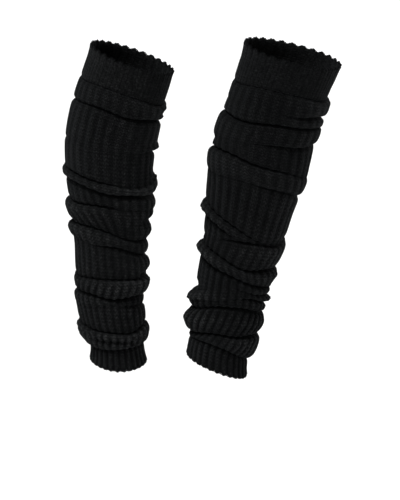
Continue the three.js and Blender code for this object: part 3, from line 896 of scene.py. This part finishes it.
def makeTopCuff(warmer):
    columns = knit["topCuffRibs"] * knit["columnsPerFineRib"]
    folds = warmer["folds"]

    def heightAt(angle, share):
        scallop = topCuff["scallopRise"] * (1 - share) ** 2 * np.cos(topCuff["scallops"] * angle)
        top = ringValue(warmer["topEdge"], "z", angle) + scallop
        return top * (1 - share) + creaseHeight(folds, 0, angle) * share

    def offAt(angle, share):
        bead = topCuff["bead"] * max(0, 1 - share / topCuff["beadReach"]) ** 2
        flare = topCuff["scallopFlare"] * (1 - share) ** 3 * np.sin(topCuff["scallops"] * angle)
        upper = min(1, share / topCuff["swellPlace"])
        lower = max(0, (share - topCuff["swellPlace"]) / (1 - topCuff["swellPlace"]))
        swell = topCuff["swell"] * math.sin(math.pi / 2 * upper) * (1 - lower**2)
        return bead + flare + swell + ringValue(folds[0], "off", angle) * lower**2

    outside, inside = cuffGrid(warmer, columns, topCuff["rows"], heightAt, offAt, -1)
    piece = wallMesh(warmer["name"] + "TopCuff", outside, inside, knit["topCuffRibs"], topCuff["stitch"],
                     (topCuff["rim"], 0), 1, topCuff["paintedLight"] * warmer["paintedLightLevel"])
    bakeRibs(piece, topCuff, topCuff["ribRise"], warmer["seed"] + 1, cuffKnit)
    chain = makeChain(warmer["name"] + "TopCastOff", outside[0], inside[0], topCuff["chain"],
                      warmer["seed"], cuffKnit)
    return piece, chain


ankleCuff = {
    "rows": 18,
    "ribRise": 0.8,
    "groove": 1.5,
    "uneven": 0.35,
    "stitch": {"height": 3.0, "perRib": 3},
    "edgeScallop": 0.7,
    "bead": 0.6,                # how far its free edge stands off
    "hug": -0.4,                # and its middle draws in
    "rim": 1.0,
    # how much painted light the ankle cuff gets
    "paintedLight": 0.7,
    "chain": {"loops": 80, "length": 3.5, "width": 2.6, "yarn": 0.5, "tilt": -0.35, "lift": -0.1},
}


def makeAnkleCuff(warmer):
    columns = knit["ribs"] * knit["columnsPerRib"]

    def heightAt(angle, share):
        scallop = ankleCuff["edgeScallop"] * share**4 * np.cos(knit["ribs"] * angle)
        top = ringValue(warmer["ankleSeam"], "z", angle) - knit["seamGap"]
        return top * (1 - share) + (ringValue(warmer["ankleEdge"], "z", angle) - scallop) * share

    def offAt(angle, share):
        return ankleCuff["bead"] * share**5 + ankleCuff["hug"] * math.sin(math.pi * share)

    outside, inside = cuffGrid(warmer, columns, ankleCuff["rows"], heightAt, offAt, 0)
    piece = wallMesh(warmer["name"] + "AnkleCuff", outside, inside, knit["ribs"], ankleCuff["stitch"],
                     (0, ankleCuff["rim"]), 1, ankleCuff["paintedLight"] * warmer["paintedLightLevel"])
    bakeRibs(piece, ankleCuff, ankleCuff["ribRise"], warmer["seed"] + 2, ribKnit)
    chain = makeChain(warmer["name"] + "AnkleCastOff", outside[-1], inside[-1], ankleCuff["chain"],
                      warmer["seed"], ribKnit)
    return piece, chain


for warmer in (leftWarmer, rightWarmer):
    side = warmer["name"]
    tube = makeLegTube(warmer)
    upper, upperChain = makeTopCuff(warmer)
    lower, lowerChain = makeAnkleCuff(warmer)
    for piece, node, slot in ((tube, "leg_tube", "rib_knit"),
                              (upper, "top_cuff", "cuff_knit"),
                              (lower, "ankle_cuff", "rib_knit")):
        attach(piece, "root")
        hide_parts(side + "_" + node)
    for chain, slot in ((upperChain, "cuff_knit"), (lowerChain, "rib_knit")):
        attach(chain, "root")
    print(side, "warmer made")

stage = {
    "floorHeight": -0.95,       # in metres, as the floor's size
    "floorSize": 40.0,
    "floorColour": (0.86, 0.86, 0.86),
    "floorRoughness": 0.9,
    "worldColour": (1.0, 1.0, 1.0),
    "worldStrength": 0.13,
    "lights": {                 # strength, softness, heading and height, the last three in degrees
        "softKey": (3.7, 20.0, -30, 60),
        "softBack": (1.7, 50.0, 150, 28),
    },
}

floorMesh = bpy.data.meshes.new("floor")
half = stage["floorSize"] / 2
outline = ((-half, -half), (half, -half), (half, half), (-half, half))
floorMesh.from_pydata([(x, y, stage["floorHeight"]) for x, y in outline], [], [(0, 1, 2, 3)])
floorPaint = bpy.data.materials.new("pale floor")
floorPaint.use_nodes = True
paint = floorPaint.node_tree.nodes["Principled BSDF"].inputs
paint["Base Color"].default_value = (*stage["floorColour"], 1)
paint["Roughness"].default_value = stage["floorRoughness"]
floorMesh.materials.append(floorPaint)
floor = addObject("floor", floorMesh)

world = bpy.data.worlds.new("studio")
world.use_nodes = True
background = world.node_tree.nodes["Background"].inputs
background["Color"].default_value = (*stage["worldColour"], 1)
background["Strength"].default_value = stage["worldStrength"]
bpy.context.scene.world = world

for name, (strength, softness, heading, height) in stage["lights"].items():
    sun = addObject(name, bpy.data.lights.new(name, "SUN"))
    sun.data.energy = strength
    sun.data.angle = math.radians(softness)
    sun.rotation_euler = (math.radians(90 - height), 0, math.radians(heading))

camera = {
    "elevation": 12.0,          # in degrees
    "distance": 2.3,            # in metres, as the target and the clip end
    "target": (-0.0118, 0.0, -0.215),
    "lens": 147.9,
    "clipEnd": 100,
}

cam = addObject("camera", bpy.data.cameras.new("camera"))
lift = math.radians(camera["elevation"])
cam.location = (camera["target"][0], -camera["distance"] * math.cos(lift),
                camera["target"][2] + camera["distance"] * math.sin(lift))
cam.rotation_euler = (math.radians(90) - lift, 0, 0)
cam.data.lens = camera["lens"]
cam.data.clip_end = camera["clipEnd"]
bpy.context.scene.camera = cam
bpy.context.scene.view_settings.view_transform = "Standard"
